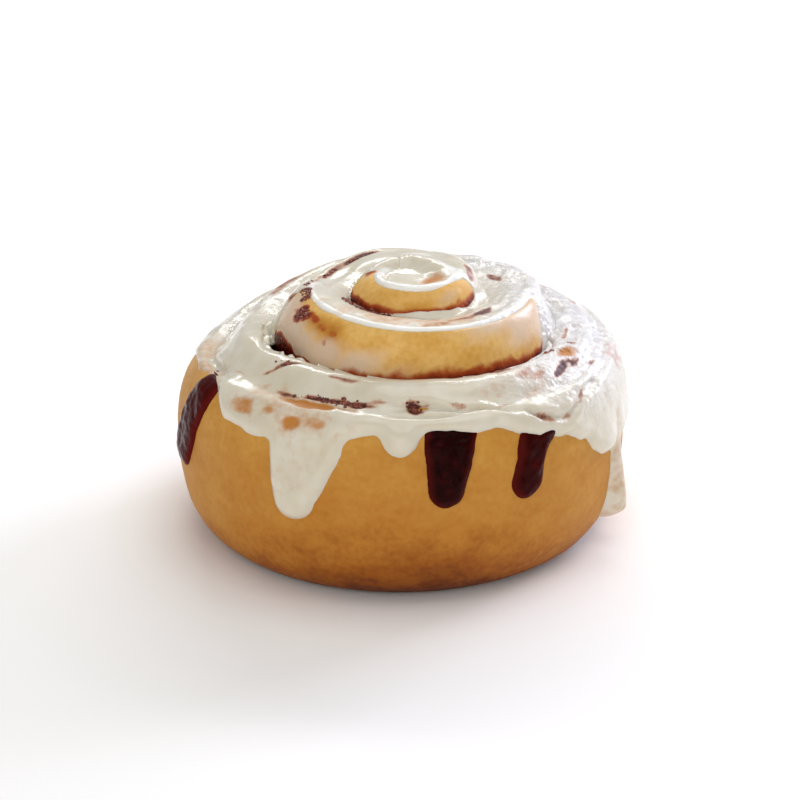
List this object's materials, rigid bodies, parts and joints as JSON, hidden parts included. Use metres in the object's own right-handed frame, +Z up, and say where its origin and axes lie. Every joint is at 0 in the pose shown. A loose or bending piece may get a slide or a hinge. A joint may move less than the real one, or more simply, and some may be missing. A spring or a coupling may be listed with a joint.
{
  "type": "iced cinnamon roll",
  "caption": "Tall round coiled bun with a risen spiral top, bulging golden sides, a poured icing cap with drips, and dark syrup runs.",
  "frame": {"origin": "under the middle of the roll, on the surface that it stands on", "axes": "+Z up, the front with the two dark runs faces -Y, +X to the right"},
  "size_m": [0.109, 0.107, 0.0637],
  "materials": {
    "baked_dough": "golden baked bun crust, soft satin",
    "cinnamon_filling": "dark sticky cinnamon sugar",
    "icing": "poured cream icing, glossy and slightly see-through where thin",
    "cinnamon_syrup": "dark glossy cinnamon syrup"
  },
  "bodies": {
    "root": {"dough": "baked_dough", "cinnamon_filling": "cinnamon_filling", "icing": "icing", "syrup_drip_left": "cinnamon_syrup", "syrup_drip_front": "cinnamon_syrup", "syrup_drip_right": "cinnamon_syrup"}
  },
  "joints": []
}
